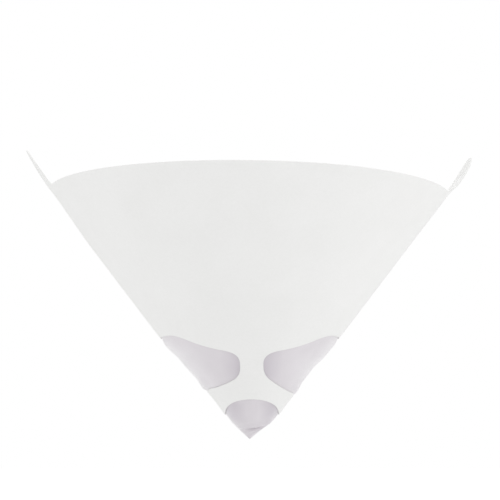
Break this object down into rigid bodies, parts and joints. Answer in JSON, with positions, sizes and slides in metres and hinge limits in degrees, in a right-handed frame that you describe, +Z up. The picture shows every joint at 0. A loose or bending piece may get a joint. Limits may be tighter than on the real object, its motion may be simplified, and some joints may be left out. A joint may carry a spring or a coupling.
{
  "type": "paint strainer",
  "caption": "White paper cone strainer with side windows and a folded tip of fine mesh, two holed ears at the rim and a glued lap at the back.",
  "frame": {"origin": "centre of the rim circle, where a holder ring carries the cone", "axes": "+Z up the cone's axis, away from the tip; -Y is the front; the ears stand at +X and -X; the glued lap is at +Y"},
  "size_m": [0.2022, 0.1783, 0.1266],
  "materials": {
    "paper": "matte uncoated white paper",
    "mesh": "fine woven nylon mesh, pale lilac grey"
  },
  "bodies": {
    "root": {"paper_cone": "paper", "mesh_filter": "mesh"}
  },
  "joints": []
}
